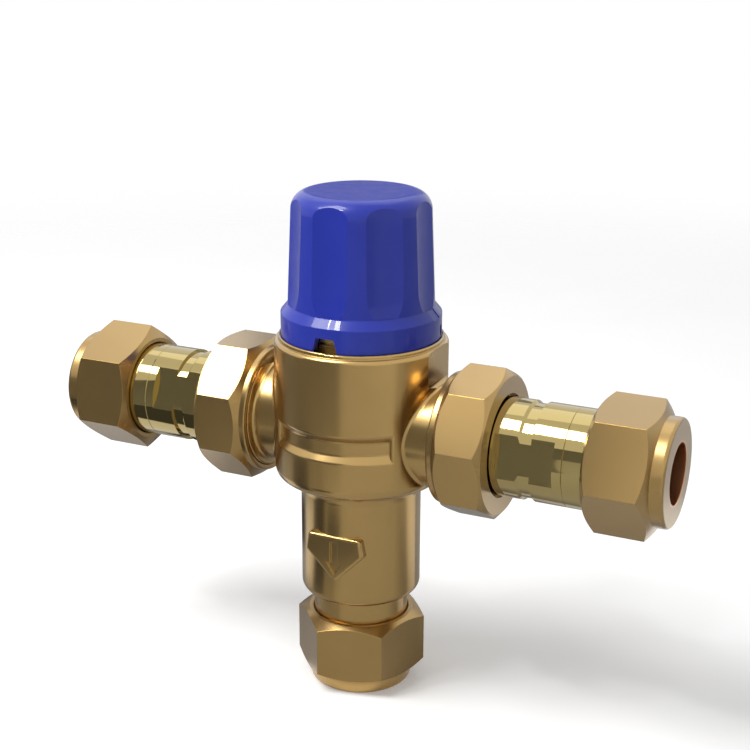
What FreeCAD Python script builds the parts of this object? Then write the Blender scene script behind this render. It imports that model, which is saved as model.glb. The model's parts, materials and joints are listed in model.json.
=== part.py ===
import FreeCAD, Part
import math
import os

from FreeCAD import Vector

# Thermostatic mixing valve with two side inlets, a bottom outlet and a covered temperature spindle.
# Lengths in millimetres. Heights are measured from the inlet axis, and reaches outwards from the
# upright axis along an inlet. Each finished piece is lifted so that the outlet nut stands on height 0.

# Clearances
fit_gap = 0.1  # between pieces that sit in each other
run_gap = 0.05  # radial, between a screw or a shaft and its hole

# Pipes and compression joints, the same at all three ports
pipe_bore_r = 7.64
nut_flats = 30.0
nut_length = 19.85
nut_chamfer_deg = 30.0
nut_corner_low = 5.5  # from the pipe side of the nut to the end of its corners
nut_corner_high = 17.9
nut_collar_r = 13.55
nut_collar_round = 0.9
nut_mouth_depth = 2.1
nut_mouth_edge = 0.3
nut_lip_r = 13.9
nut_lip_round = 0.4
stub_depth = 7.45  # from the pipe side of the nut to the end of the stub
stub_r = 12.5  # of its plain part
stub_thread_r = 12.0
stub_thread_length = 10.8
stub_floor_gap = 0.9  # left for tightening
olive_length = 6.6
olive_r = 9.4
olive_end_wall = 0.35
olive_band = 1.4
nut_gap = stub_floor_gap + fit_gap
cone_gap = 0.12  # between the olive and its two seats
olive_end_r = pipe_bore_r + olive_end_wall
olive_cone = (olive_length - olive_band) / 2
olive_slope = (olive_r - olive_end_r) / olive_cone
olive_low = stub_depth - olive_length / 2 + stub_floor_gap / 2 - nut_gap
olive_high = olive_low + olive_length
nut_mouth_r = stub_r + fit_gap
chamfer_overrun = 1.0  # how far past the corners a nut's chamfer cone runs

# Threads: share of the pitch that is flat at the crest and at the root
thread_crest = 0.2
thread_root = 0.15
stub_pitch = 1.814
stub_thread_depth = 0.95
union_pitch = 2.309
union_thread_depth = 1.2

# Outlet
outlet_nut_deg = 44.04  # degrees from the front to the nearest corner, towards +X
outlet_socket_depth = 24.15
outlet_passage_r = 6.4

# Barrel of the body
arm_height = 72.15
pipe_stop = outlet_socket_depth - arm_height
barrel_r = 22.4
barrel_ledge = -14.0
barrel_low_round = 3.0
barrel_root_round = 3.6
neck_r = 15.75
stub_shown = 6.1  # between the nut and the foot of the neck
neck_foot = nut_length + stub_shown - arm_height
neck_foot_round = 2.5
neck_root_round = 0.8
crown = 23.15
crown_round = 1.1
bead_inset = 1.1
bead_r = barrel_r - bead_inset
bead_top = 24.2
bead_round = 0.45
crown_rim_inset = 1.55
crown_rim_r = barrel_r - crown_rim_inset
seat_face = 23.7

# Flats over the bosses
flat_inset = 0.9
flat_reach = barrel_r - flat_inset
flat_root_round = 1.2

# Recessed panel on the front of the barrel
panel_mid = -0.1
panel_floor_half = 1.75
panel_edge_half = 3.5
panel_end_gap = 3.17  # round the barrel, from an end of the panel to the boss beside it
panel_depth = 1.2
panel_floor_round = 0.9
panel_edge_round = 0.7

# Shield pad on the neck, with its arrow
pad_face = 16.1
pad_top_rise = 20.0  # above the foot of the neck, like the next ones
pad_side_rise = 15.25
pad_tip_rise = 6.95
pad_top = neck_foot + pad_top_rise
pad_side = neck_foot + pad_side_rise
pad_tip = neck_foot + pad_tip_rise
pad_top_half = 7.45
pad_side_half = 8.15
pad_corner_round = 0.9
pad_edge_round = 0.75
arrow_depth = 0.5
arrow_top_rise = 18.25
arrow_head_rise = 12.5
arrow_tip_rise = 9.25
arrow_top = neck_foot + arrow_top_rise
arrow_head = neck_foot + arrow_head_rise
arrow_tip = neck_foot + arrow_tip_rise
arrow_shaft_half = 1.05
arrow_head_half = 2.15

# Side bosses
boss_r = 13.3
boss_root_round = 1.0
boss_neck_shown = 2.7
boss_neck_end = barrel_r + boss_neck_shown
boss_collar_round = 1.1
boss_collar_edge = 0.35
boss_collar_width = 1.9
boss_collar_length = 9.5
boss_end = boss_neck_end + boss_collar_length
union_thread_r = 15.3
passage_r = 7.5
passage_inset = 4.4
passage_end = barrel_r - passage_inset
strainer_rim_r = 9.8
strainer_rim = 1.5

# Chambers in the barrel, from the top down
bonnet_thread_r = 17.0
bonnet_thread_low = 16.5
cold_chamber_r = 16.2
web_half = 2.0
hot_chamber_r = 15.4
chamber_floor = -12.5
mixing_r = 9.2
mixing_floor = -26.0
port_half_width = 5.0
port_height = 4.4
port_web_gap = 0.6
port_overlap = 1.0  # how far it runs into the passage
port_round = 1.5

# Shuttle, its seal and the two seats
shuttle_r = 13.5
shuttle_wall = 2.0
shuttle_half = 9.0
seat_gap = 0.9
hub_r = 8.4
hub_low = -8.0
hub_high = -4.1
arm_count = 4
arm_width = 2.4
arm_thick = 3.0
seal_section = 0.62
hot_seat_bore_r = 9.6
hot_seat_plate = 1.6

# Wax element and its rod
capsule_r = 6.2
capsule_low = -23.5
capsule_round = 2.0
collar_r = 7.3
collar_high = -1.9
collar_round = 0.5
guide_r = 4.2
guide_high = 6.0
guide_round = 0.6
rod_r = 2.0
rod_low = -14.0
rod_high = 14.8
rod_bore_low = -18.0

# Bonnet
bonnet_nose_r = 14.0
bonnet_nose_high = 12.7
bonnet_nose_round = 0.4
bonnet_cavity_r = 11.4
bonnet_collar_r = 17.9
bonnet_collar_high = 29.5
bonnet_collar_round = 0.3
bonnet_groove_low = 25.3
bonnet_groove_width = 0.8
bonnet_groove_depth = 0.6
bonnet_hex_flats = 24.0
bonnet_hex_high = 36.0
bonnet_tower_r = 9.0
bonnet_tower_high = 41.0
bonnet_tower_round = 0.6
bonnet_roof_low = 33.0
bonnet_seal_height = 14.6
bonnet_seal_section = 0.9
cap_ring_height = 28.3
cap_ring_section = 0.75

# Carrier, with its spring, plunger and clip
carrier_r = 10.0
carrier_flat = 9.2
carrier_low = 12.4
carrier_high = 28.6
carrier_deck = 23.4
carrier_bore_r = 8.2
clip_low = 12.95
clip_thick = 0.7
clip_groove = 0.7
clip_width = 2.6
clip_opening = 5.0
plunger_r = 7.9
plunger_low = 13.9
plunger_thick = 1.5
plunger_boss_r = 3.2
plunger_boss_high = 17.0
plunger_boss_round = 0.4
plunger_socket = 1.0

# Temperature spindle
spindle_r = 4.0
spindle_thread_r = 3.6
spindle_low = 19.0
spindle_end_round = 0.5
spindle_collar_r = 6.5
spindle_collar_low = 30.8
spindle_collar_round = 0.4
spindle_head_low = 43.5
spindle_high = 49.0
spindle_head_flats = 6.5
spindle_seal_height = 37.0
spindle_seal_section = 0.55
spindle_clip_r = 6.0
spindle_clip_thick = 0.8
spindle_clip_groove = 0.65
spindle_clip_opening = 5.2

# Springs: mean radius, wire radius and turns
return_spring_r = 7.7
return_wire_r = 0.55
return_turns = 5
overtravel_spring_r = 7.2
overtravel_wire_r = 0.6
overtravel_turns = 4
check_spring_r = 2.4
check_wire_r = 0.3
check_turns = 4

# Cap
cap_base = 24.1
cap_skirt_r = 20.55
cap_skirt_high = 30.1
cap_step_r = 18.7
cap_step_high = 32.3
cap_shoulder_r = 17.5
cap_top = 60.8
cap_top_round = 4.5
cap_edge_round = 0.5
cap_skirt_bore_r = 18.3
cap_skirt_bore_high = 30.6
cap_bore_r = 15.3
cap_bore_top_r = 14.4
cap_roof = 2.5
cap_bore_round = 1.5
cap_hub_r = 6.2
cap_hub_bore_r = 4.6
cap_hub_low = 50.0
hub_overlap = 1.0
flute_count = 8
flute_floor = 17.21  # from the axis, at mid height
flute_mid = 44.6
flute_r = 30.0
flute_low = 39.6  # centre of the round lower end
notch_width = 6.75
notch_top_width = 4.9
notch_high = 27.7
notch_round = 0.7
slot_deg = 103.5
slot_width = 2.2
slot_low = 24.9
slot_high = 27.5
mark_deg = 92.0
mark_width = 3.8
mark_depth = 0.35

# Union nuts
union_flats = 36.0
union_chamfer_deg = 40.0
union_lip_gap = 0.25
union_lip_end = boss_neck_end + union_lip_gap
union_lip_r = 16.9
union_lip_length = 1.65
union_lip_root = union_lip_end + union_lip_length
union_lip_round = 0.6
union_lip_edge = 0.3
union_bevel_low = 2.18  # from the lip to the end of the corners
union_corner_length = 9.36
union_bevel_high = 1.66
union_corner_low = union_lip_root + union_bevel_low
union_corner_high = union_corner_low + union_corner_length
union_face = union_corner_high + union_bevel_high
union_hole_r = 13.2
union_wall = 1.9
right_union_deg = 52.41  # degrees from the front up to the nearest corner
left_union_deg = 66.54
washer_thick = 1.5
washer_bore_r = 9.9

# Tails
tail_flange_gap = 0.3  # between the flange's rim and the union nut's thread
tail_groove_from = 6.6
tail_groove_ramp = 0.7
tail_groove_width = 2.9
tail_groove_start = union_face + tail_groove_from
tail_groove_floor = tail_groove_start + tail_groove_ramp
tail_groove_end = tail_groove_floor + tail_groove_width
tail_groove_depth = 0.63
tail_inner_shown = 18.45
tail_seam = union_face + tail_inner_shown
tail_seam_edge = 0.12
tail_flat_gap = 0.8
tail_flat_length = 15.3
tail_flat_depth = 1.32
tail_flat_start = union_face + tail_flat_gap
tail_flat_end = tail_flat_start + tail_flat_length
tail_flat_reach = stub_r - tail_flat_depth
right_tail_deg = 6.6
left_tail_deg = 21.7
tail_passage_r = 6.4
tail_socket_from = 1.85
tail_socket_low = tail_seam + tail_socket_from
spigot_r = 10.2
spigot_length = 4.6
tail_outer_reach = 24.95  # from the seam to the pipe side of the nut
inlet_reach = tail_seam + tail_outer_reach
tail_thread_length = 10.3
right_nut_deg = 52.07
left_nut_deg = 37.15

# Check valve in each inner tail
cage_r = 9.4
cage_wall = 1.2
cage_gap = 2.2
cage_length = 13.1
cage_seat_thick = 3.0
cage_low = boss_end + cage_gap
cage_high = cage_low + cage_length
cage_seat = cage_high - cage_seat_thick
cage_seat_r = 4.6
cage_hub_r = 2.9
cage_hub_length = 2.6
cage_arms = 3
cage_arm_width = 1.6
seal_ring_proud = 0.2
poppet_r = 6.4
poppet_high = cage_seat - seal_ring_proud - fit_gap
poppet_thick = 2.2
poppet_low = poppet_high - poppet_thick
poppet_stem_r = 1.3
poppet_round = 0.4
poppet_stem_shown = 0.5
poppet_stem_low = cage_low - poppet_stem_shown
seal_ring_r = 5.95
seal_ring_width = 1.1
seal_ring_thick = 1.0

# Strainer in each boss
strainer_r = 6.9
strainer_wall = 0.7
strainer_end_round = 1.0
strainer_length = 12.6
strainer_low = boss_end - strainer_length
strainer_slots = 8
strainer_slot_width = 2.0
strainer_slot_margin = 2.0

AXIS = Vector(0, 0, 1)
ORIGIN = Vector(0, 0, 0)
beyond = 5.0  # how far a cutting shape runs past what it cuts


def outline(corners):
    """Closed face in the XZ plane. A corner is (x, z) or (x, z, radius of its rounding)."""
    points = [Vector(c[0], 0, c[1]) for c in corners]
    radii = [c[2] if len(c) > 2 else 0.0 for c in corners]
    count = len(points)
    trims = []
    for i in range(count):
        before = points[i - 1] - points[i]
        after = points[(i + 1) % count] - points[i]
        half = before.getAngle(after) / 2
        trims.append(radii[i] / math.tan(half) if radii[i] else 0.0)
    # A rounding is limited by the edges beside it.
    shares = [1.0] * count
    for i in range(count):
        j = (i + 1) % count
        length = (points[j] - points[i]).Length
        wanted = trims[i] + trims[j]
        if wanted > length:
            shares[i] = min(shares[i], 0.999 * length / wanted)
            shares[j] = min(shares[j], 0.999 * length / wanted)
    edges = []
    starts = []
    ends = []
    for i in range(count):
        trim = trims[i] * shares[i]
        to_before = (points[i - 1] - points[i]).normalize()
        to_after = (points[(i + 1) % count] - points[i]).normalize()
        starts.append(points[i] + to_before * trim)
        ends.append(points[i] + to_after * trim)
    for i in range(count):
        j = (i + 1) % count
        if radii[i]:
            half = (starts[i] - points[i]).getAngle(ends[i] - points[i]) / 2
            inwards = ((starts[i] + ends[i]) * 0.5 - points[i]).normalize()
            trim = (starts[i] - points[i]).Length
            middle = points[i] + inwards * (trim / math.cos(half) - trim * math.tan(half))
            edges.append(Part.Arc(starts[i], middle, ends[i]).toShape())
        if (starts[j] - ends[i]).Length > 1e-6:
            edges.append(Part.LineSegment(ends[i], starts[j]).toShape())
    return Part.Face(Part.Wire(edges))


def turned(corners):
    """Solid of revolution about the upright axis."""
    return outline(corners).revolve(ORIGIN, AXIS, 360)


def tube(outer, inner, low, high):
    return turned([(inner, low), (outer, low), (outer, high), (inner, high)])


def rod(radius, low, high):
    return Part.makeCylinder(radius, high - low, Vector(0, 0, low))


def polygon_prism(sides, flats, low, high, corner_deg):
    """Upright prism, with one corner at corner_deg from +X."""
    corner_r = flats / 2 / math.cos(math.pi / sides)
    points = []
    for i in range(sides + 1):
        a = math.radians(corner_deg + 360.0 * i / sides)
        points.append(Vector(corner_r * math.cos(a), corner_r * math.sin(a), low))
    return Part.Face(Part.makePolygon(points)).extrude(Vector(0, 0, high - low))


def extruded(corners, depth):
    """Prism of an XZ outline, from the XZ plane towards -Y."""
    return outline(corners).extrude(Vector(0, -depth, 0))


def spring(mean_r, wire_r, turns, low, high):
    """Coil between two heights. Each half turn is an arc in a plane that leans with the pitch."""
    rise = (high - low - 2 * wire_r) / (2 * turns)
    lean = math.atan2(rise, 2 * mean_r)
    halves = []
    for i in range(2 * turns):
        side = 1 if i % 2 == 0 else -1
        start = Vector(side * mean_r, 0, low + wire_r + i * rise)
        wire = Part.Face(Part.Wire(Part.makeCircle(wire_r, start, Vector(0, 1, 0))))
        axis = Vector(side * math.sin(lean), 0, math.cos(lean))
        halves.append(wire.revolve(Vector(0, 0, start.z + rise / 2), axis, 180))
    return halves[0].fuse(halves[1:]).removeSplitter()


def thread(crest_r, depth, pitch, low, high):
    """Corners of a thread's profile between two heights, as whole grooves."""
    corners = [(crest_r, low)]
    grooves = int((high - low) / pitch)
    first = low + (high - low - grooves * pitch) / 2
    for i in range(grooves):
        crest = first + i * pitch + thread_crest * pitch / 2
        flank = (1 - thread_crest - thread_root) * pitch / 2
        corners += [(crest_r, crest), (crest_r - depth, crest + flank),
                    (crest_r - depth, crest + flank + thread_root * pitch),
                    (crest_r, crest + 2 * flank + thread_root * pitch)]
    return corners + [(crest_r, high)]


def ring_seal(mean_r, section_r, height):
    return Part.makeTorus(mean_r, section_r, Vector(0, 0, height))


def clip(outer, inner, low, thick, opening):
    """Flat open ring, open towards the front."""
    ring = tube(outer, inner, low, low + thick)
    gap = Part.makeBox(opening, outer + beyond, thick + 2 * beyond,
                       Vector(-opening / 2, -outer - beyond, low - beyond))
    return ring.cut(gap)


def spider(arms, width, inner, outer, low, high, start_deg=0.0):
    """Flat arms between two radii, as one list of solids."""
    made = []
    for i in range(arms):
        arm = Part.makeBox(outer - inner, width, high - low, Vector(inner, -width / 2, low))
        arm.rotate(ORIGIN, AXIS, start_deg + 360.0 * i / arms)
        made.append(arm)
    return made


def on_arm(shape, side):
    """Lay an upright shape along an inlet: its height becomes the reach, side is 1 right or -1 left."""
    laid = shape.copy()
    laid.rotate(ORIGIN, Vector(0, 1, 0), 90 * side)
    return laid


def arm_angle(turn, side):
    """Angle from +X, before on_arm, of what then lies turn degrees up from the front."""
    return -90 - side * turn


def save(name, shape):
    lifted = shape.copy()
    lifted.translate(Vector(0, 0, arm_height))
    lifted.exportStep("parts/" + name + ".step")


def nut_blank(sides, flats, low, corner_low, corner_high, high, low_r, high_r, chamfer_deg, corner_deg):
    """Prism with both ends turned down to a cone. low_r and high_r are where the cones stop."""
    slope = math.tan(math.radians(chamfer_deg))
    corner_r = flats / 2 / math.cos(math.pi / sides)
    wide = corner_r + chamfer_overrun
    drop = chamfer_overrun * slope
    cone_low = corner_low - (corner_r - low_r) * slope
    cone_high = corner_high + (corner_r - high_r) * slope
    envelope = turned([(0, cone_low), (low_r, cone_low), (wide, corner_low + drop),
                       (wide, corner_high - drop), (high_r, cone_high), (0, cone_high)])
    prism = polygon_prism(sides, flats, low - beyond, high + beyond, corner_deg)
    return prism.common(envelope)


def compression_nut(corner_deg):
    """Nut that stands on its pipe side at height 0."""
    blank = nut_blank(6, nut_flats, 0, nut_corner_low, nut_corner_high, nut_length,
                      nut_collar_r, nut_lip_r, nut_chamfer_deg, corner_deg)
    collar = turned([(0, 0), (nut_collar_r, 0, nut_collar_round), (nut_collar_r, nut_corner_low),
                     (0, nut_corner_low)])
    lip = turned([(0, nut_corner_high), (nut_lip_r, nut_corner_high), (nut_lip_r, nut_length, nut_lip_round),
                  (0, nut_length)])
    floor = stub_depth - stub_floor_gap
    seat_low = olive_low - fit_gap / 2
    hole = turned([(0, -beyond), (pipe_bore_r, -beyond), (pipe_bore_r, seat_low),
                   (olive_end_r + cone_gap, seat_low), (seat_r(floor - seat_low), floor),
                   (stub_thread_r + run_gap, floor), (stub_thread_r + run_gap, nut_length - nut_mouth_depth),
                   (nut_mouth_r, nut_length - nut_mouth_depth), (nut_mouth_r, nut_length - nut_mouth_edge),
                   (nut_mouth_r + nut_mouth_edge, nut_length),
                   (nut_mouth_r + nut_mouth_edge, nut_length + beyond),
                   (0, nut_length + beyond)])
    return blank.fuse([collar, lip]).cut(hole).removeSplitter()


# Olive and its seats, measured from the pipe side of the nut
def seat_r(depth):
    """Radius of a cone that leaves cone_gap round the olive, depth from the olive's end."""
    return olive_end_r + cone_gap + olive_slope * depth


def olive():
    return turned([(pipe_bore_r, olive_low), (olive_end_r, olive_low), (olive_r, olive_low + olive_cone),
                   (olive_r, olive_high - olive_cone), (olive_end_r, olive_high), (pipe_bore_r, olive_high)])


def socket_mouth(stop):
    """Pipe socket of a stub, from the stub's end at stub_depth up to its stop."""
    mouth = olive_high + fit_gap / 2
    return turned([(0, stub_depth - beyond), (seat_r(mouth - stub_depth + beyond), stub_depth - beyond),
                   (olive_end_r + cone_gap, mouth), (pipe_bore_r, mouth), (pipe_bore_r, stop), (0, stop)])


def placed_outlet(shape):
    """Put a piece that stands on its pipe side under the outlet stub."""
    lowered = shape.copy()
    lowered.translate(Vector(0, 0, -arm_height))
    return lowered


def placed_inlet(shape, side):
    """Turn a piece that stands on its pipe side over, and put it at the end of an inlet."""
    turned_over = shape.copy()
    turned_over.rotate(ORIGIN, Vector(1, 0, 0), 180)
    turned_over.translate(Vector(0, 0, inlet_reach))
    return on_arm(turned_over, side)


# Body: barrel, neck and outlet stub in one turned outline, with its bosses, flats, panel and pad
def barrel():
    stub_end = stub_depth - arm_height
    stub_step = stub_end + stub_thread_length
    stub = thread(stub_thread_r, stub_thread_depth, stub_pitch, stub_end, stub_step)
    return turned([(0, stub_end)] + stub +
                  [(stub_r, stub_step), (stub_r, neck_foot, neck_root_round),
                   (neck_r, neck_foot, neck_foot_round), (neck_r, barrel_ledge, barrel_root_round),
                   (barrel_r, barrel_ledge, barrel_low_round), (barrel_r, crown, crown_round),
                   (bead_r, crown), (bead_r, bead_top, bead_round), (crown_rim_r, bead_top),
                   (crown_rim_r, seat_face), (0, seat_face)])


def boss(side):
    """Boss neck and the collar that carries the union thread."""
    union_thread = thread(union_thread_r, union_thread_depth, union_pitch, boss_neck_end + boss_collar_width,
                          boss_end)
    shape = turned([(0, 0), (boss_r, 0), (boss_r, boss_neck_end, boss_collar_round),
                    (union_thread_r, boss_neck_end, boss_collar_edge)] + union_thread + [(0, boss_end)])
    return on_arm(shape, side)


def meets_barrel(edge):
    """True for an edge where a boss leaves the barrel."""
    middle = edge.valueAt((edge.FirstParameter + edge.LastParameter) / 2)
    from_axis = math.hypot(middle.x, middle.y)
    from_arm = math.hypot(middle.y, middle.z)
    return abs(from_axis - barrel_r) < 0.01 and abs(from_arm - boss_r) < 0.01


def flat_cutter(side):
    """What is milled off the barrel over a boss."""
    low = boss_r + run_gap
    shape = outline([(flat_reach, low, flat_root_round), (barrel_r + beyond, low),
                     (barrel_r + beyond, bead_top + beyond), (flat_reach, bead_top + beyond)])
    cutter = shape.extrude(Vector(0, 2 * barrel_r, 0))
    cutter.translate(Vector(0, -barrel_r, 0))
    if side < 0:
        cutter.rotate(ORIGIN, AXIS, 180)
    return cutter


def panel_end_deg():
    """Angle from the front to either end of the panel."""
    return 90 - math.degrees(math.asin(boss_r / barrel_r) + panel_end_gap / barrel_r)


def panel_cutter():
    """Cutter of the panel, with sloping long walls and rounded corners at its floor."""
    floor = barrel_r - panel_depth
    slope = (panel_edge_half - panel_floor_half) / panel_depth
    far_half = panel_edge_half + beyond * slope
    face = outline([(floor, panel_mid - panel_floor_half, panel_floor_round),
                    (barrel_r + beyond, panel_mid - far_half), (barrel_r + beyond, panel_mid + far_half),
                    (floor, panel_mid + panel_floor_half, panel_floor_round)])
    cutter = face.revolve(ORIGIN, AXIS, 2 * panel_end_deg())
    cutter.rotate(ORIGIN, AXIS, -90 - panel_end_deg())
    return cutter


def bounds_panel(edge):
    """True for an edge where a wall of the panel meets the barrel."""
    middle = edge.valueAt((edge.FirstParameter + edge.LastParameter) / 2)
    on_barrel = abs(math.hypot(middle.x, middle.y) - barrel_r) < 0.01
    aside_deg = abs(math.degrees(math.atan2(middle.x, -middle.y)))
    within = aside_deg < panel_end_deg() + 0.1 and abs(middle.z - panel_mid) < panel_edge_half + 0.01
    return on_barrel and within


def pad():
    """Shield-shaped pad that stands out of the neck, with a recessed arrow."""
    shape = extruded([(-pad_top_half, pad_top, pad_corner_round),
                      (-pad_side_half, pad_side, pad_corner_round), (0, pad_tip, pad_corner_round),
                      (pad_side_half, pad_side, pad_corner_round),
                      (pad_top_half, pad_top, pad_corner_round)], pad_face)
    front = [e for e in shape.Edges if abs(e.BoundBox.YMin + pad_face) < 0.01 and e.BoundBox.YLength < 0.01]
    return shape.makeFillet(pad_edge_round, front)


def arrow():
    shape = extruded([(-arrow_shaft_half, arrow_top), (-arrow_shaft_half, arrow_head),
                      (-arrow_head_half, arrow_head), (0, arrow_tip), (arrow_head_half, arrow_head),
                      (arrow_shaft_half, arrow_head), (arrow_shaft_half, arrow_top)], beyond)
    shape.translate(Vector(0, arrow_depth - pad_face, 0))
    return shape


def chambers():
    """Bore of the barrel, from the bonnet thread down to the pipe stop of the outlet."""
    web_r = shuttle_r + fit_gap
    return turned([(0, pipe_stop), (outlet_passage_r, pipe_stop), (outlet_passage_r, mixing_floor),
                   (mixing_r, mixing_floor), (mixing_r, chamber_floor), (hot_chamber_r, chamber_floor),
                   (hot_chamber_r, -web_half), (web_r, -web_half), (web_r, web_half),
                   (cold_chamber_r, web_half), (cold_chamber_r, bonnet_thread_low),
                   (bonnet_thread_r, bonnet_thread_low), (bonnet_thread_r, bead_top + beyond),
                   (0, bead_top + beyond)])


def passage(side):
    """Waterway through a boss, with the strainer's counterbore."""
    rim_r = strainer_rim_r + fit_gap
    way = turned([(0, passage_end), (passage_r, passage_end), (passage_r, boss_end - strainer_rim),
                  (rim_r, boss_end - strainer_rim), (rim_r, boss_end + beyond), (0, boss_end + beyond)])
    return on_arm(way, side)


def port(side):
    """Opening from a passage: the cold one on the right into the upper chamber, the hot one below the web."""
    near = web_half + port_web_gap
    low = near if side > 0 else -near - port_height
    block = Part.makeBox(passage_end + port_overlap - shuttle_r, 2 * port_half_width, port_height,
                         Vector(shuttle_r, -port_half_width, low))
    along = [e for e in block.Edges if e.BoundBox.YLength < 0.01 and e.BoundBox.ZLength < 0.01]
    block = block.makeFillet(port_round, along)
    if side < 0:
        block.rotate(ORIGIN, AXIS, 180)
    return block


def valve_body():
    shape = barrel().fuse([boss(1), boss(-1)])
    shape = shape.makeFillet(boss_root_round, [e for e in shape.Edges if meets_barrel(e)])
    shape = shape.fuse(pad())
    outlet_mouth = placed_outlet(socket_mouth(pipe_stop + arm_height))
    shape = shape.cut([flat_cutter(1), flat_cutter(-1), panel_cutter(), arrow()]).removeSplitter()
    shape = shape.makeFillet(panel_edge_round, [e for e in shape.Edges if bounds_panel(e)])
    return shape.cut([chambers(), outlet_mouth, passage(1), passage(-1), port(1), port(-1)]).removeSplitter()


# Bonnet: screwed into the barrel, holds the spindle, and its nose is the cold seat
def bonnet():
    thread_r = bonnet_thread_r - fit_gap
    thread_low = bonnet_thread_low + fit_gap
    land_r = cold_chamber_r - fit_gap
    nose = shuttle_half + seat_gap
    groove_r = bonnet_collar_r - bonnet_groove_depth
    groove_high = bonnet_groove_low + bonnet_groove_width
    ring_groove_r = cap_ring_r() - cap_ring_section - run_gap
    ring_low = cap_ring_height - cap_ring_section - fit_gap
    ring_high = cap_ring_height + cap_ring_section + fit_gap
    shape = turned([(0, nose), (bonnet_nose_r, nose, bonnet_nose_round), (bonnet_nose_r, bonnet_nose_high),
                    (land_r, bonnet_nose_high), (land_r, thread_low), (thread_r, thread_low),
                    (thread_r, seat_face), (bonnet_collar_r, seat_face),
                    (bonnet_collar_r, bonnet_groove_low), (groove_r, bonnet_groove_low),
                    (groove_r, groove_high), (bonnet_collar_r, groove_high),
                    (bonnet_collar_r, ring_low), (ring_groove_r, ring_low), (ring_groove_r, ring_high),
                    (bonnet_collar_r, ring_high), (bonnet_collar_r, bonnet_collar_high, bonnet_collar_round),
                    (0, bonnet_collar_high)])
    hexagon = nut_blank(6, bonnet_hex_flats, bonnet_collar_high, bonnet_collar_high - 1, bonnet_hex_high - 1,
                        bonnet_hex_high, bonnet_hex_flats / 2, bonnet_hex_flats / 2, nut_chamfer_deg, 0)
    tower = turned([(0, bonnet_hex_high - 1), (bonnet_tower_r, bonnet_hex_high - 1),
                    (bonnet_tower_r, bonnet_tower_high, bonnet_tower_round), (0, bonnet_tower_high)])
    seal_r = land_r - 2 * bonnet_seal_section + fit_gap
    seal_groove = tube(land_r + beyond, seal_r, bonnet_seal_height - bonnet_seal_section - fit_gap,
                       bonnet_seal_height + bonnet_seal_section + fit_gap)
    cavity = rod(bonnet_cavity_r, nose - beyond, bonnet_nose_high)
    guide = rod(carrier_r + fit_gap, nose - beyond, bonnet_roof_low)
    half = carrier_flat + fit_gap
    guide = guide.common(Part.makeBox(2 * half, 2 * carrier_r + beyond, bonnet_roof_low + beyond,
                                      Vector(-half, -carrier_r - beyond / 2, 0)))
    bearing = rod(spindle_r + run_gap, bonnet_roof_low - 1, bonnet_tower_high + beyond)
    return shape.fuse([hexagon, tower]).cut([seal_groove, cavity, guide, bearing]).removeSplitter()


def cap_ring_r():
    return cap_skirt_bore_r - fit_gap - cap_ring_section


def cap_ring():
    return ring_seal(cap_ring_r(), cap_ring_section, cap_ring_height)


def bonnet_seal():
    return ring_seal(cold_chamber_r - run_gap - bonnet_seal_section, bonnet_seal_section - run_gap,
                     bonnet_seal_height)


# Cap: a moulded shell with a stepped skirt and finger flutes
def cap_taper():
    return (cap_step_r - cap_shoulder_r) / (cap_top - cap_step_high)


def flute_cutter():
    """Round-ended cutter of one flute, on the front, parallel to the cap's tapered side."""
    lean = math.degrees(math.atan(cap_taper()))
    length = cap_top + beyond - flute_low
    bar = Part.makeCylinder(flute_r, length).fuse(Part.makeSphere(flute_r))
    bar.rotate(ORIGIN, Vector(1, 0, 0), -lean)
    floor = flute_floor + (flute_mid - flute_low) * cap_taper()
    bar.translate(Vector(0, -floor - flute_r, flute_low))
    return bar


def cap():
    shell = turned([(0, cap_base), (cap_skirt_r, cap_base), (cap_skirt_r, cap_skirt_high, cap_edge_round),
                    (cap_step_r, cap_step_high, cap_edge_round), (cap_shoulder_r, cap_top, cap_top_round),
                    (0, cap_top)])
    flutes = []
    for i in range(flute_count):
        cutter = flute_cutter()
        cutter.rotate(ORIGIN, AXIS, 360.0 * i / flute_count)
        flutes.append(cutter)
    above_step = rod(2 * cap_skirt_r, cap_step_high, cap_top + beyond)
    flutes = [f.common(above_step) for f in flutes]
    hollow = turned([(0, cap_base - beyond), (cap_skirt_bore_r, cap_base - beyond),
                     (cap_skirt_bore_r, cap_skirt_bore_high), (cap_bore_r, cap_skirt_bore_high),
                     (cap_bore_top_r, cap_top - cap_roof, cap_bore_round), (0, cap_top - cap_roof)])
    notch = extruded([(-notch_width / 2, cap_base), (-notch_top_width / 2, notch_high, notch_round),
                      (notch_top_width / 2, notch_high, notch_round), (notch_width / 2, cap_base),
                      (notch_width / 2, cap_base - beyond), (-notch_width / 2, cap_base - beyond)],
                     cap_skirt_r + beyond)
    slot = Part.makeBox(slot_width, cap_skirt_r + beyond, slot_high - slot_low,
                        Vector(-slot_width / 2, -cap_skirt_r - beyond, slot_low))
    slot.rotate(ORIGIN, AXIS, slot_deg)
    mark_face = outline([(cap_skirt_r, cap_skirt_high - mark_depth), (cap_step_r, cap_step_high - mark_depth),
                         (cap_step_r, cap_step_high + beyond), (cap_skirt_r + beyond, cap_step_high + beyond),
                         (cap_skirt_r + beyond, cap_skirt_high - mark_depth)])
    mark = mark_face.extrude(Vector(0, mark_width, 0))
    mark.translate(Vector(0, -mark_width / 2, 0))
    mark.rotate(ORIGIN, AXIS, mark_deg - 90)
    hub = tube(cap_hub_r, cap_hub_bore_r, cap_hub_low, cap_top - cap_roof + hub_overlap)
    return shell.cut(flutes + [hollow, notch, slot, mark]).fuse(hub).removeSplitter()


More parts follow.
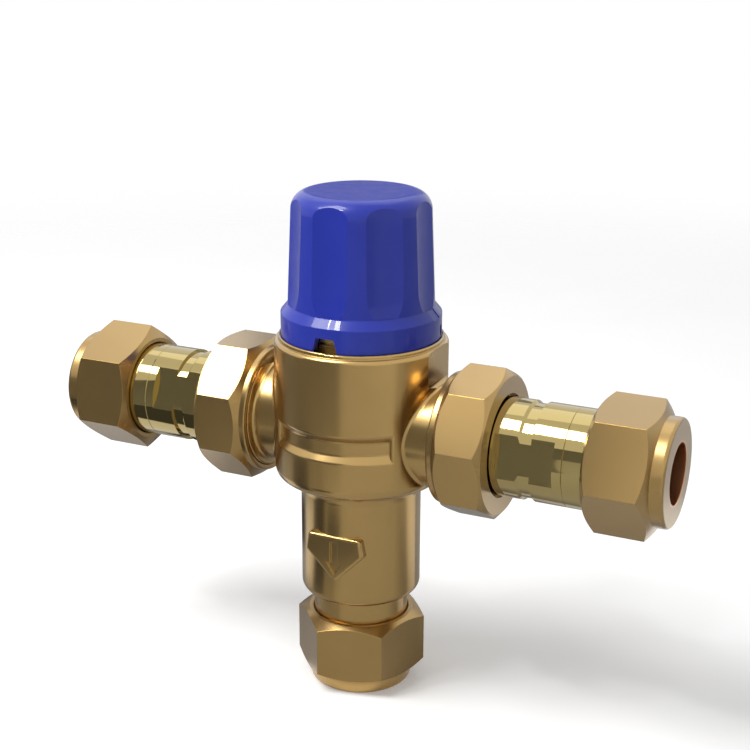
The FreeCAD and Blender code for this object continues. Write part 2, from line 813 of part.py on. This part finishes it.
# Spindle, with its seal and clip
def spindle():
    clip_groove_r = spindle_r - spindle_clip_groove
    clip_from = bonnet_tower_high + fit_gap
    clip_to = clip_from + spindle_clip_thick + fit_gap
    seal_groove_r = spindle_r - 2 * spindle_seal_section - run_gap
    seal_from = spindle_seal_height - spindle_seal_section - fit_gap
    seal_to = spindle_seal_height + spindle_seal_section + fit_gap
    roof = bonnet_roof_low - fit_gap
    shape = turned([(0, spindle_low), (spindle_thread_r, spindle_low, spindle_end_round),
                    (spindle_thread_r, spindle_collar_low),
                    (spindle_collar_r, spindle_collar_low, spindle_collar_round), (spindle_collar_r, roof),
                    (spindle_r, roof), (spindle_r, seal_from), (seal_groove_r, seal_from),
                    (seal_groove_r, seal_to), (spindle_r, seal_to), (spindle_r, clip_from),
                    (clip_groove_r, clip_from), (clip_groove_r, clip_to), (spindle_r, clip_to),
                    (spindle_r, spindle_head_low), (0, spindle_head_low)])
    head = polygon_prism(6, spindle_head_flats, spindle_head_low, spindle_high, 0)
    return shape.fuse(head).removeSplitter()


def spindle_seal():
    return ring_seal(spindle_r - spindle_seal_section, spindle_seal_section - run_gap / 2,
                     spindle_seal_height)


def spindle_clip():
    low = bonnet_tower_high + 1.5 * fit_gap
    return clip(spindle_clip_r, spindle_r - spindle_clip_groove + run_gap, low, spindle_clip_thick,
                spindle_clip_opening)


# Carrier: the cup that the spindle's thread raises and lowers, with the overtravel parts inside it
def carrier():
    shape = turned([(0, carrier_low), (carrier_r, carrier_low), (carrier_r, carrier_high), (0, carrier_high)])
    flats = Part.makeBox(2 * carrier_flat, 2 * carrier_r + beyond, carrier_high,
                         Vector(-carrier_flat, -carrier_r - beyond / 2, 0))
    clip_groove_r = carrier_bore_r + clip_groove
    clip_from = clip_low - run_gap
    clip_to = clip_low + clip_thick + run_gap
    screw_r = spindle_thread_r + run_gap
    bore = turned([(0, carrier_low - beyond), (carrier_bore_r, carrier_low - beyond),
                   (carrier_bore_r, clip_from), (clip_groove_r, clip_from), (clip_groove_r, clip_to),
                   (carrier_bore_r, clip_to), (carrier_bore_r, carrier_deck), (screw_r, carrier_deck),
                   (screw_r, carrier_high + beyond), (0, carrier_high + beyond)])
    return shape.common(flats).cut(bore)


def carrier_clip():
    outer = carrier_bore_r + clip_groove - fit_gap
    return clip(outer, outer - clip_width, clip_low, clip_thick, clip_opening)


def plunger():
    plate = plunger_low + plunger_thick
    shape = turned([(0, plunger_low), (plunger_r, plunger_low), (plunger_r, plate),
                    (plunger_boss_r, plate), (plunger_boss_r, plunger_boss_high, plunger_boss_round),
                    (0, plunger_boss_high)])
    return shape.cut(rod(rod_r + run_gap, plunger_low - beyond, plunger_low + plunger_socket))


# Element: wax capsule with its guide, and the rod that it drives
def element():
    rest = hub_high + fit_gap
    shape = turned([(0, capsule_low), (capsule_r, capsule_low, capsule_round), (capsule_r, rest),
                    (collar_r, rest), (collar_r, collar_high, collar_round), (guide_r, collar_high),
                    (guide_r, guide_high, guide_round), (0, guide_high)])
    return shape.cut(rod(rod_r + run_gap, rod_bore_low, guide_high + beyond))


# Shuttle: slides between the hot seat below it and the cold seat above it
def shuttle():
    inner = shuttle_r - shuttle_wall
    groove_half = seal_section + fit_gap
    groove_r = shuttle_r - 2 * seal_section - run_gap
    sleeve = turned([(inner, -shuttle_half), (shuttle_r, -shuttle_half), (shuttle_r, -groove_half),
                     (groove_r, -groove_half), (groove_r, groove_half), (shuttle_r, groove_half),
                     (shuttle_r, shuttle_half), (inner, shuttle_half)])
    hub = tube(hub_r, capsule_r + fit_gap, hub_low, hub_high)
    arms = spider(arm_count, arm_width, hub_r - 0.5, inner + 0.5, hub_low, hub_low + arm_thick)
    return sleeve.fuse([hub] + arms).removeSplitter()


def shuttle_seal():
    return ring_seal(shuttle_r - seal_section, seal_section - run_gap / 2, 0)


def hot_seat():
    top = -shuttle_half - seat_gap
    plate = chamber_floor + hot_seat_plate
    lip_out = shuttle_r + fit_gap
    lip_in = shuttle_r - shuttle_wall - fit_gap
    return turned([(hot_seat_bore_r, chamber_floor), (hot_chamber_r - fit_gap, chamber_floor),
                   (hot_chamber_r - fit_gap, plate), (lip_out, plate), (lip_out, top), (lip_in, top),
                   (lip_in, plate), (hot_seat_bore_r, plate)])


# Union nut, from its open end at the boss to its wall at the tail
def union_nut(side, turn):
    blank = nut_blank(8, union_flats, union_lip_root, union_corner_low, union_corner_high, union_face,
                      union_cone_r(union_lip_root), union_cone_r(union_face), union_chamfer_deg,
                      arm_angle(turn, side))
    lip = turned([(0, union_lip_end), (union_lip_r, union_lip_end, union_lip_round),
                  (union_lip_r, union_corner_low), (0, union_corner_low)])
    wall = union_face - union_wall
    thread_r = union_thread_r + run_gap
    hole = turned([(0, union_lip_end - beyond), (thread_r + union_lip_edge, union_lip_end - beyond),
                   (thread_r + union_lip_edge, union_lip_end), (thread_r, union_lip_end + union_lip_edge),
                   (thread_r, wall), (union_hole_r, wall), (union_hole_r, union_face + beyond),
                   (0, union_face + beyond)])
    return on_arm(blank.fuse(lip).cut(hole).removeSplitter(), side)


def union_cone_r(reach):
    """Radius at which a union nut's chamfer has come down to a face at this reach."""
    corner_r = union_flats / 2 / math.cos(math.pi / 8)
    past = max(union_corner_low - reach, reach - union_corner_high)
    return corner_r - past / math.tan(math.radians(union_chamfer_deg))


def union_washer(side):
    low = boss_end + fit_gap
    return on_arm(tube(union_thread_r - tail_flange_gap, washer_bore_r, low, low + washer_thick), side)


# Tails: the inner one is held by the union nut, the outer one screws into it at the seam
def tail_flange_low():
    return boss_end + washer_thick + 2 * fit_gap


def tail_inner(side, turn):
    low = tail_flange_low()
    flange_end = union_face - union_wall - fit_gap
    floor = stub_r - tail_groove_depth
    flange_r = union_thread_r - tail_flange_gap
    shape = turned([(0, low), (flange_r, low), (flange_r, flange_end), (stub_r, flange_end),
                    (stub_r, tail_groove_start), (floor, tail_groove_floor), (floor, tail_groove_end),
                    (stub_r, tail_groove_end), (stub_r, tail_seam - tail_seam_edge),
                    (stub_r - tail_seam_edge, tail_seam), (0, tail_seam)])
    cage_hole_r = cage_r + fit_gap
    cage_hole_end = cage_high + fit_gap
    spigot_hole_r = spigot_r + fit_gap
    spigot_hole_low = tail_seam - spigot_length - fit_gap
    bore = turned([(0, low - beyond), (cage_hole_r, low - beyond), (cage_hole_r, cage_hole_end),
                   (tail_passage_r, cage_hole_end), (tail_passage_r, spigot_hole_low),
                   (spigot_hole_r, spigot_hole_low), (spigot_hole_r, tail_seam + beyond),
                   (0, tail_seam + beyond)])
    cuts = [bore]
    for half_turn in (0, 180):
        flat = Part.makeBox(beyond, 2 * stub_r, tail_flat_end - tail_flat_start,
                            Vector(tail_flat_reach, -stub_r, tail_flat_start))
        flat.rotate(ORIGIN, AXIS, arm_angle(turn, side) + half_turn)
        cuts.append(flat)
    return on_arm(shape.cut(cuts), side)


def tail_outer(side):
    spigot_low = tail_seam - spigot_length
    stub_end = inlet_reach - stub_depth
    thread_start = stub_end - tail_thread_length
    shape = turned([(0, spigot_low), (spigot_r, spigot_low), (spigot_r, tail_seam),
                    (stub_r - tail_seam_edge, tail_seam), (stub_r, tail_seam + tail_seam_edge),
                    (stub_r, thread_start)] +
                   thread(stub_thread_r, stub_thread_depth, stub_pitch, thread_start, stub_end) +
                   [(0, stub_end)])
    way = on_arm(rod(tail_passage_r, spigot_low - beyond, tail_socket_low + 1), side)
    return on_arm(shape, side).cut([way, placed_inlet(socket_mouth(inlet_reach - tail_socket_low), side)])


# Check valve: a cage in the inner tail, with a sprung poppet that opens towards the body
def check_cage(side):
    shape = turned([(cage_r - cage_wall, cage_low), (cage_r, cage_low), (cage_r, cage_high),
                    (cage_seat_r, cage_high), (cage_seat_r, cage_seat), (cage_r - cage_wall, cage_seat)])
    hub = tube(cage_hub_r, poppet_stem_r + run_gap, cage_low, cage_low + cage_hub_length)
    arms = spider(cage_arms, cage_arm_width, cage_hub_r - 0.3, cage_r - cage_wall + 0.3, cage_low,
                  cage_low + cage_hub_length - 0.6)
    return on_arm(shape.fuse([hub] + arms).removeSplitter(), side)


def check_poppet(side):
    groove_depth = seal_ring_thick - seal_ring_proud + run_gap
    shape = turned([(0, poppet_stem_low), (poppet_stem_r, poppet_stem_low),
                    (poppet_stem_r, poppet_low, poppet_round), (poppet_r, poppet_low, poppet_round),
                    (poppet_r, poppet_high), (0, poppet_high)])
    groove = tube(seal_ring_r + run_gap, seal_ring_r - seal_ring_width - run_gap, poppet_high - groove_depth,
                  poppet_high + beyond)
    return on_arm(shape.cut(groove), side)


def check_seal(side):
    high = poppet_high + seal_ring_proud
    return on_arm(tube(seal_ring_r, seal_ring_r - seal_ring_width, high - seal_ring_thick, high), side)


def check_spring(side):
    low = cage_low + cage_hub_length + run_gap
    return on_arm(spring(check_spring_r, check_wire_r, check_turns, low, poppet_low - run_gap), side)


# Strainer: a slotted thimble whose rim lies in the boss's counterbore
def strainer(side):
    rim_low = boss_end - strainer_rim + run_gap
    inner = strainer_r - strainer_wall
    shape = turned([(0, strainer_low), (strainer_r, strainer_low, strainer_end_round), (strainer_r, rim_low),
                    (strainer_rim_r, rim_low), (strainer_rim_r, boss_end), (inner, boss_end),
                    (inner, strainer_low + strainer_wall), (0, strainer_low + strainer_wall)])
    slots = spider(strainer_slots, strainer_slot_width, inner - 1, strainer_r + 1,
                   strainer_low + strainer_slot_margin, rim_low - strainer_slot_margin)
    return on_arm(shape.cut(slots), side)


os.makedirs("parts", exist_ok=True)

save("valve_body", valve_body())
save("bonnet", bonnet())
save("bonnet_seal", bonnet_seal())
save("cap_ring", cap_ring())
save("cap", cap())
save("spindle", spindle())
save("spindle_seal", spindle_seal())
save("spindle_clip", spindle_clip())
save("carrier", carrier())
save("carrier_clip", carrier_clip())
save("overtravel_spring", spring(overtravel_spring_r, overtravel_wire_r, overtravel_turns,
                                 plunger_low + plunger_thick + run_gap, carrier_deck - run_gap))
save("plunger", plunger())
save("element", element())
save("element_rod", rod(rod_r, rod_low, rod_high))
save("shuttle", shuttle())
save("shuttle_seal", shuttle_seal())
save("hot_seat", hot_seat())
save("return_spring", spring(return_spring_r, return_wire_r, return_turns, mixing_floor + run_gap,
                             hub_low - run_gap))
save("outlet_nut", placed_outlet(compression_nut(outlet_nut_deg - 90)))
save("outlet_olive", placed_outlet(olive()))

for name, side, union_turn, tail_turn, nut_turn in (
        ("right", 1, right_union_deg, right_tail_deg, right_nut_deg),
        ("left", -1, left_union_deg, left_tail_deg, left_nut_deg)):
    save(name + "_union_nut", union_nut(side, union_turn))
    save(name + "_union_washer", union_washer(side))
    save(name + "_strainer", strainer(side))
    save(name + "_tail_inner", tail_inner(side, tail_turn))
    save(name + "_tail_outer", tail_outer(side))
    save(name + "_check_cage", check_cage(side))
    save(name + "_check_poppet", check_poppet(side))
    save(name + "_check_seal", check_seal(side))
    save(name + "_check_spring", check_spring(side))
    save(name + "_olive", placed_inlet(olive(), side))
    save(name + "_inlet_nut", placed_inlet(compression_nut(-arm_angle(nut_turn, side)), side))
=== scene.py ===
import json
import math

import bmesh
import bpy
from mathutils import Matrix, Vector


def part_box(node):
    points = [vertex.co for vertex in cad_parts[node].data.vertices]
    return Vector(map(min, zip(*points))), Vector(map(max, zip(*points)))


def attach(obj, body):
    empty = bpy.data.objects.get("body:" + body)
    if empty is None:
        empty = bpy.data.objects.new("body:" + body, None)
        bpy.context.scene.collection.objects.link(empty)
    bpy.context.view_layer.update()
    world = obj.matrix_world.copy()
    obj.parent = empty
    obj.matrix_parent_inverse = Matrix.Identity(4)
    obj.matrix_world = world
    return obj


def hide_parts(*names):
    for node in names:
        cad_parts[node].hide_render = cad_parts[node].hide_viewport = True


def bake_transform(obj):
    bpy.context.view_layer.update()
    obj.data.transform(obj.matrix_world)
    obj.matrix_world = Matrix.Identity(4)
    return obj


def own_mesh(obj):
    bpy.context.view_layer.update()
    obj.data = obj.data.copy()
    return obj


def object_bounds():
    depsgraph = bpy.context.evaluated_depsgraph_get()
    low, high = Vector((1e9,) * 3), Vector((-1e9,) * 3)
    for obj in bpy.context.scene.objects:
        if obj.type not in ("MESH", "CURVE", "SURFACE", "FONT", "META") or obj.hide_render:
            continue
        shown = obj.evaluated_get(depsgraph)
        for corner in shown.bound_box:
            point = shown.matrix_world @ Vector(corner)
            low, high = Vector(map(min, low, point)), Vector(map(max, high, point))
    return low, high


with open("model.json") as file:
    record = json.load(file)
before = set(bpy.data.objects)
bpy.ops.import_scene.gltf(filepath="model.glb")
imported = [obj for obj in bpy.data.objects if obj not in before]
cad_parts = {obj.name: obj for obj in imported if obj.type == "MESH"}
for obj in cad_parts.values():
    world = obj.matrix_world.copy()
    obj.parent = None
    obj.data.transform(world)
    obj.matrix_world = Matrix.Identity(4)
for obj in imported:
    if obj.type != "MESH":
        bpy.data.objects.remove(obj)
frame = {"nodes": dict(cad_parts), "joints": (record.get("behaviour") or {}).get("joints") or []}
cad_low, cad_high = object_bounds()

# Camera
# It stands to the right of the front and looks slightly down, so that the flats of the nuts, the
# panel and the pad all show.
camera_data = bpy.data.cameras.new("camera")
camera_data.sensor_width = 36.0
camera_data.lens = 70.67
camera_data.clip_start = 0.01
camera = bpy.data.objects.new("camera", camera_data)
bpy.context.scene.collection.objects.link(camera)
camera_spot = Vector((0.158975, -0.324206, 0.200685))
camera_view = Vector((-0.41086, 0.85900, -0.30545))
camera_roll = math.radians(0.24)
camera.matrix_world = (Matrix.Translation(camera_spot)
                       @ camera_view.to_track_quat("-Z", "Y").to_matrix().to_4x4()
                       @ Matrix.Rotation(camera_roll, 4, "Z"))
bpy.context.scene.camera = camera
bpy.context.scene.view_settings.view_transform = "Standard"


# Table and room
# A pale round table top whose edge fades into a white room. Both show white to the camera and in
# the metal's reflections, while the light that they give stays soft.
class Output:
    """An output of a material's node. Arithmetic on it adds Math nodes."""

    def __init__(self, finish, socket):
        self.finish = finish
        self.socket = socket

    def maths(self, operation, first, second):
        return self.finish.add("ShaderNodeMath", {"operation": operation}, {0: first, 1: second})

    def __add__(self, other):
        return self.maths("ADD", self, other)

    def __radd__(self, other):
        return self.maths("ADD", other, self)

    def __mul__(self, other):
        return self.maths("MULTIPLY", self, other)

    def __rmul__(self, other):
        return self.maths("MULTIPLY", other, self)

    def either(self, other):
        return self.maths("MAXIMUM", self, other)

    def nearer(self, other):
        return self.maths("MINIMUM", self, other)


class Finish:
    """Nodes of one material or of the world. The values of the main shader come first."""

    def __init__(self, owner, values=None):
        owner.use_nodes = True
        self.owner = owner
        self.tree = owner.node_tree
        self.main = next(n for n in self.tree.nodes if n.type in ("BSDF_PRINCIPLED", "BACKGROUND"))
        self.end = next(n for n in self.tree.nodes if n.type.startswith("OUTPUT"))
        for name, value in (values or {}).items():
            self.main.inputs[name].default_value = value

    def add(self, kind, settings=None, inputs=None, output=0):
        node = self.tree.nodes.new(kind)
        for name, value in (settings or {}).items():
            setattr(node, name, value)
        for socket, value in (inputs or {}).items():
            self.feed(node.inputs[socket], value)
        return Output(self, node.outputs[output])

    def feed(self, socket, value):
        if isinstance(value, Output):
            self.tree.links.new(value.socket, socket)
        else:
            socket.default_value = value

    def surface(self, **values):
        """Feed the main shader; base_color stands for Base Color, and so on."""
        for name, value in values.items():
            self.feed(self.main.inputs[name.replace("_", " ").title()], value)

    def place(self):
        return self.add("ShaderNodeTexCoord", output="Object")

    def length(self, vector):
        return self.add("ShaderNodeVectorMath", {"operation": "LENGTH"}, {0: vector}, output="Value")

    def noise(self, size, detail=3.0):
        """Noise of about 0 to 1, whose blotches are about size metres across."""
        return self.add("ShaderNodeTexNoise", None,
                        {"Vector": self.place(), "Scale": 1.0 / size, "Detail": detail})

    def between(self, factor, first, second):
        """The colour first where the factor is 0 and second where it is 1."""
        return self.add("ShaderNodeMix", {"data_type": "RGBA"}, {0: factor, 6: first, 7: second},
                        output=2)

    def ramp(self, value, low, high, to_low=0.0, to_high=1.0):
        return self.add("ShaderNodeMapRange", {"interpolation_type": "SMOOTHSTEP"},
                        {"Value": value, "From Min": low, "From Max": high,
                         "To Min": to_low, "To Max": to_high})

    def looked_at(self):
        """1 on rays that show a thing to the camera, straight, mirrored or through glass."""
        seen = self.add("ShaderNodeLightPath", output="Is Camera Ray")
        mirrored = self.add("ShaderNodeLightPath", output="Is Glossy Ray")
        through = self.add("ShaderNodeLightPath", output="Is Transmission Ray")
        return seen.either(mirrored).either(through)


def new_finish(name, values=None):
    return Finish(bpy.data.materials.new(name), values)


def new_object(name, shape):
    mesh = bpy.data.meshes.new(name)
    shape.to_mesh(mesh)
    shape.free()
    made = bpy.data.objects.new(name, mesh)
    bpy.context.scene.collection.objects.link(made)
    return made


table_radius = 0.75
table_fade = 0.30
table_grain = 0.05
table_glow = 0.18
round_top = bmesh.new()
bmesh.ops.create_circle(round_top, cap_ends=True, segments=96, radius=table_radius)
table = new_object("table_top", round_top)
pale = new_finish("pale_table", {"Roughness": 0.9, "Specular IOR Level": 0.1,
                                 "Emission Strength": table_glow})
pale_grain = pale.noise(table_grain)
pale.surface(base_color=pale.between(pale_grain, (0.86, 0.86, 0.86, 1), (0.90, 0.90, 0.90, 1)),
             emission_color=pale.between(pale.looked_at(), (0, 0, 0, 1), (1, 1, 1, 1)))
faded = pale.ramp(pale.length(pale.place()), table_fade, table_radius)
clear = pale.add("ShaderNodeBsdfTransparent")
solid = Output(pale, pale.main.outputs[0])
pale.feed(pale.end.inputs["Surface"],
          pale.add("ShaderNodeMixShader", None, {0: faded, 1: solid, 2: clear}))
table.data.materials.append(pale.owner)

room_light = 0.42
world = bpy.data.worlds.new("room")
bpy.context.scene.world = world
room = Finish(world)
room.surface(color=(1, 1, 1, 1), strength=room_light + (1.0 - room_light) * room.looked_at())


# Lamps
# A large softbox at the upper left, two small bright windows beside it that make the crisp
# highlights, and a weak sheet of light behind and above.
middle = (cad_low + cad_high) / 2


def softbox(name, direction, distance, width, height, strength):
    """A rectangular lamp that faces the middle of the valve."""
    lamp = bpy.data.lights.new(name, "AREA")
    lamp.shape = "RECTANGLE"
    lamp.size = width
    lamp.size_y = height
    lamp.energy = strength * width * height * math.pi
    placed = bpy.data.objects.new(name, lamp)
    bpy.context.scene.collection.objects.link(placed)
    towards = Vector(direction).normalized()
    placed.matrix_world = (Matrix.Translation(middle + towards * distance)
                           @ towards.to_track_quat("Z", "Y").to_matrix().to_4x4())
    placed.visible_camera = False


softbox("key", direction=(-0.41, -0.335, 0.85), distance=0.9, width=0.36, height=0.50, strength=11.0)
softbox("window", direction=(-0.207, -0.485, 0.85), distance=0.9, width=0.10, height=0.06,
        strength=45.0)
softbox("small_window", direction=(-0.36, -0.42, 0.83), distance=0.9, width=0.03, height=0.05,
        strength=60.0)
softbox("overhead", direction=(-0.25, 0.45, 0.86), distance=1.0, width=0.80, height=0.60, strength=0.62)


# Grey cards
# Curved cards round the valve, standing like a fence or lying on the table, as are used to give
# brassware its light and dark bands. Only its reflections show them.
card_step_deg = 6.0


def grey(name, shade):
    return new_finish(name, {"Roughness": 1.0, "Specular IOR Level": 0.0,
                             "Base Color": (shade, shade, shade, 1)})


def card(name, from_deg, to_deg, shade, near, far, low, high):
    """A card from the radius near at the height low to far at high.

    Its ends are angles from the front towards +X."""
    strip = bmesh.new()
    start = math.radians(from_deg)
    out = Vector((math.sin(start), -math.cos(start), 0))
    ends = [strip.verts.new(out * near + Vector((0, 0, low))),
            strip.verts.new(out * far + Vector((0, 0, high)))]
    sweep_deg = to_deg - from_deg
    bmesh.ops.spin(strip, geom=ends + [strip.edges.new(ends)], cent=(0, 0, 0), axis=(0, 0, 1),
                   angle=math.radians(sweep_deg), steps=round(sweep_deg / card_step_deg))
    made = new_object(name, strip)
    made.visible_camera = False
    made.visible_diffuse = False
    made.visible_shadow = False
    made.visible_transmission = False
    made.data.materials.append(shade.owner)


black = grey("black_card", 0.06)
dark_grey = grey("dark_grey_card", 0.34)
mid_grey = grey("mid_grey_card", 0.50)
pale_grey = grey("pale_grey_card", 0.80)
fence_radius = 0.20
fence_height = 0.105
ground_height = 0.0005
for name, from_deg, to_deg, shade, radius, low, high in (
        ("back_left_fence", -180.0, -96.0, mid_grey, fence_radius, 0.0, fence_height),
        ("left_fence", -96.0, 0.0, dark_grey, fence_radius, 0.0, fence_height),
        ("front_fence", 0.0, 70.0, pale_grey, fence_radius, 0.0, fence_height),
        ("right_fence", 70.0, 180.0, mid_grey, fence_radius, 0.0, fence_height),
        ("left_screen", -50.0, 4.0, dark_grey, fence_radius, fence_height, 0.200),
        ("back_screen", -172.0, -142.0, dark_grey, 0.220, 0.145, 0.225),
        ("cap_screen", -163.0, -146.0, black, 0.218, 0.188, 0.226),
        ("back_kerb", -135.0, -102.0, black, 0.090, ground_height, 0.018)):
    card(name, from_deg, to_deg, shade, near=radius, far=radius, low=low, high=high)
ground_near = 0.018
strip_height = 2 * ground_height
for name, from_deg, to_deg, shade, near, far, height in (
        ("left_ground", -215.0, -22.0, dark_grey, ground_near, fence_radius, ground_height),
        ("front_ground", -22.0, 120.0, mid_grey, ground_near, fence_radius, ground_height),
        ("under_left_arm", -100.0, -72.0, pale_grey, 0.070, 0.135, strip_height),
        ("dark_gap", -71.0, -44.0, black, 0.065, fence_radius, strip_height),
        ("pad_gap", -38.0, -12.0, black, 0.090, 0.140, strip_height),
        ("back_gap", -135.0, -100.0, black, 0.155, fence_radius, strip_height)):
    card(name, from_deg, to_deg, shade, near=near, far=far, low=height, high=height)


# Valve body
# One forging of dezincification-resistant brass with its waterways bored out, bead-blasted to a
# fine satin and lacquered. Its edges are rounded by the blasting.
def bump(finish, height, depth, under=None):
    """The normal of a skin whose height varies by depth metres, over another normal or none."""
    made = finish.add("ShaderNodeBump", None, {"Height": height, "Distance": depth})
    if under:
        finish.feed(made.socket.node.inputs["Normal"], under)
    return made


def satin_brass(name, deep, bright, grain_size, grain_depth, edge_round, roughness, coat,
                coat_ior=1.5):
    """Lacquered brass whose colour drifts a little, with a fine grain and softly rounded edges."""
    brass = new_finish(name, {"Metallic": 1.0, "Coat Weight": coat, "Coat Roughness": 0.28,
                              "Coat IOR": coat_ior})
    drift = brass.noise(size=0.018, detail=2.0)
    grain = brass.noise(grain_size, detail=2.0)
    rounded = brass.add("ShaderNodeBevel", {"samples": 6}, {"Radius": edge_round})
    brass.skin = brass.between(brass.ramp(drift, 0.3, 0.7), deep, bright)
    swing = 0.008
    satin = brass.ramp(grain, 0.25, 0.75, to_low=roughness - swing, to_high=roughness + swing)
    brass.surface(base_color=brass.skin, roughness=satin,
                  normal=bump(brass, grain, grain_depth, rounded))
    return brass


def dress(finish, *nodes):
    for node in nodes:
        materials = frame["nodes"][node].data.materials
        materials.clear()
        materials.append(finish.owner)


cast_brass = satin_brass("cast_brass", deep=(0.46, 0.295, 0.092, 1), bright=(0.50, 0.32, 0.102, 1),
                         grain_size=0.0006, grain_depth=0.0000012, edge_round=0.0004,
                         roughness=0.23, coat=0.8)
dress(cast_brass, "valve_body")


# Nuts
# Hot-stamped and turned brass, tumbled to a satin with a finer grain and lacquered outside. The bores
# are bare and redder, and their colour is also painted about twice as bright, a painted light that
# lifts the shade inside them.
nut_brass = satin_brass("nut_brass", deep=(0.395, 0.238, 0.052, 1), bright=(0.425, 0.258, 0.060, 1),
                        grain_size=0.0004, grain_depth=0.0000008, edge_round=0.00025,
                        roughness=0.25, coat=0.8, coat_ior=1.75)


def from_axis(across, shift):
    """Distance from the axis of a nut; across is 1 along the two directions square to it."""
    return nut_brass.length(nut_brass.add("ShaderNodeVectorMath", {"operation": "MULTIPLY_ADD"},
                                          {0: nut_brass.place(), 1: across, 2: shift}))


inlet_low, inlet_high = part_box("right_inlet_nut")
arm_height = (inlet_low[2] + inlet_high[2]) / 2
from_arm = from_axis(across=(0, 1, 1), shift=(0, 0, -arm_height))
from_neck = from_axis(across=(1, 1, 0), shift=(0, 0, 0))
bore_edge = 0.0083
bore_blur = 0.0002
outside = nut_brass.ramp(from_arm.nearer(from_neck), bore_edge - bore_blur, bore_edge)
# Bore colour: redder bare brass, partly real and partly painted light, about twice as bright as the
# outside to lift the shade in the bores.
bare_bore_with_painted_light = (0.85, 0.40, 0.16, 1)
nut_brass.surface(base_color=nut_brass.between(outside, bare_bore_with_painted_light, nut_brass.skin))
dress(nut_brass, "left_union_nut", "right_union_nut", "left_inlet_nut", "right_inlet_nut", "outlet_nut")


# Tails and olives
# The tails are turned from brass bar and polished bright, with the spanner flats milled
# afterwards. The olives are the soft rings that the end nuts squeeze on the pipes.
def mottled(name, values, size, deep, bright, smooth, rough, detail=3.0):
    """A finish whose colour and roughness drift over blotches of a size."""
    made = new_finish(name, values)
    made.blotches = made.noise(size, detail)
    made.surface(base_color=made.between(made.blotches, deep, bright),
                 roughness=made.ramp(made.blotches, 0.3, 0.7, to_low=smooth, to_high=rough))
    return made


polished = mottled("polished_brass", {"Metallic": 1.0, "Coat Weight": 0.5, "Coat Roughness": 0.05,
                                      "Coat IOR": 1.8},
                   size=0.0002, detail=1.0, deep=(0.41, 0.315, 0.105, 1), bright=(0.46, 0.35, 0.12, 1),
                   smooth=0.04, rough=0.07)
dress(polished, "left_tail_inner", "right_tail_inner", "left_tail_outer", "right_tail_outer",
      "left_olive", "right_olive", "outlet_olive")


# Headwork
# Turned brass parts in the body: the bonnet that screws into it, the temperature spindle and what
# it moves, and the seat that the shuttle shuts on.
turned_brass = satin_brass("turned_brass", deep=(0.50, 0.36, 0.14, 1), bright=(0.56, 0.40, 0.16, 1),
                           grain_size=0.0003, grain_depth=0.00001, edge_round=0.0001,
                           roughness=0.28, coat=0.3)
dress(turned_brass, "bonnet", "spindle", "carrier", "plunger", "hot_seat")


# Cap
# One injection moulding in glossy blue plastic, with a faint orange peel. A rubber ring under it
# grips it.
blue = new_finish("blue_plastic", {"Specular IOR Level": 0.2, "Coat Weight": 0.4,
                                   "Coat Roughness": 0.03})
blue_drift = blue.noise(size=0.01)
orange_peel = blue.noise(size=0.004, detail=1.0)
blue.surface(base_color=blue.between(blue_drift, (0.015, 0.029, 0.34, 1), (0.020, 0.037, 0.38, 1)),
             roughness=blue.ramp(orange_peel, 0.3, 0.7, to_low=0.28, to_high=0.36),
             normal=bump(blue, orange_peel, depth=0.00002))
dress(blue, "cap")


# Seals, springs and the hidden working parts
# Nitrile rings and washers, stainless springs, clips and strainers, an acetal shuttle and check
# valves, and the copper capsule of wax.
rubber = mottled("black_rubber", {"Specular IOR Level": 0.4}, size=0.0005,
                 deep=(0.018, 0.018, 0.018, 1), bright=(0.03, 0.03, 0.03, 1), smooth=0.45, rough=0.6)
rubber.surface(normal=bump(rubber, rubber.blotches, depth=0.00001))
steel = mottled("spring_steel", {"Metallic": 1.0}, size=0.0004,
                deep=(0.50, 0.50, 0.50, 1), bright=(0.60, 0.60, 0.60, 1), smooth=0.22, rough=0.32)
acetal = mottled("white_acetal", {"Specular IOR Level": 0.5}, size=0.002,
                 deep=(0.72, 0.72, 0.69, 1), bright=(0.80, 0.80, 0.77, 1), smooth=0.35, rough=0.45)
copper = mottled("copper", {"Metallic": 1.0}, size=0.004,
                 deep=(0.62, 0.30, 0.17, 1), bright=(0.70, 0.36, 0.21, 1), smooth=0.25, rough=0.38)
for node in frame["nodes"]:
    if node.endswith(("_seal", "_washer", "_ring")):
        dress(rubber, node)
    elif node.endswith(("_spring", "_clip", "_strainer", "_rod")):
        dress(steel, node)
    elif node.endswith(("_cage", "_poppet")) or node == "shuttle":
        dress(acetal, node)
dress(copper, "element")


# Springs that give way
# Spring coils
# cage and its poppet. Each is a copy of its rigid solid that shortens or stretches with its joint.
same_point = 0.000001


def soft_coil(node, name):
    wire = bmesh.new()
    wire.from_mesh(frame["nodes"][node].data)
    bmesh.ops.remove_doubles(wire, verts=wire.verts, dist=same_point)
    coil = new_object(name, wire)
    coil.data.materials.append(steel.owner)
    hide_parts(node)
    return coil


return_coil = soft_coil("return_spring", "return_coil")
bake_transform(return_coil)
for side in ("left", "right"):
    check_coil = soft_coil(side + "_check_spring", side + "_check_coil")
    coil_low, coil_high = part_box(side + "_check_spring")
    check_joint = next(j for j in frame["joints"] if j["name"] == side + "_check_stroke")
    check_stroke = max(check_joint["range_m"])
    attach(check_coil, side + "_tail")
    1 - check_stroke / (coil_high[0] - coil_low[0])
    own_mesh(check_coil)
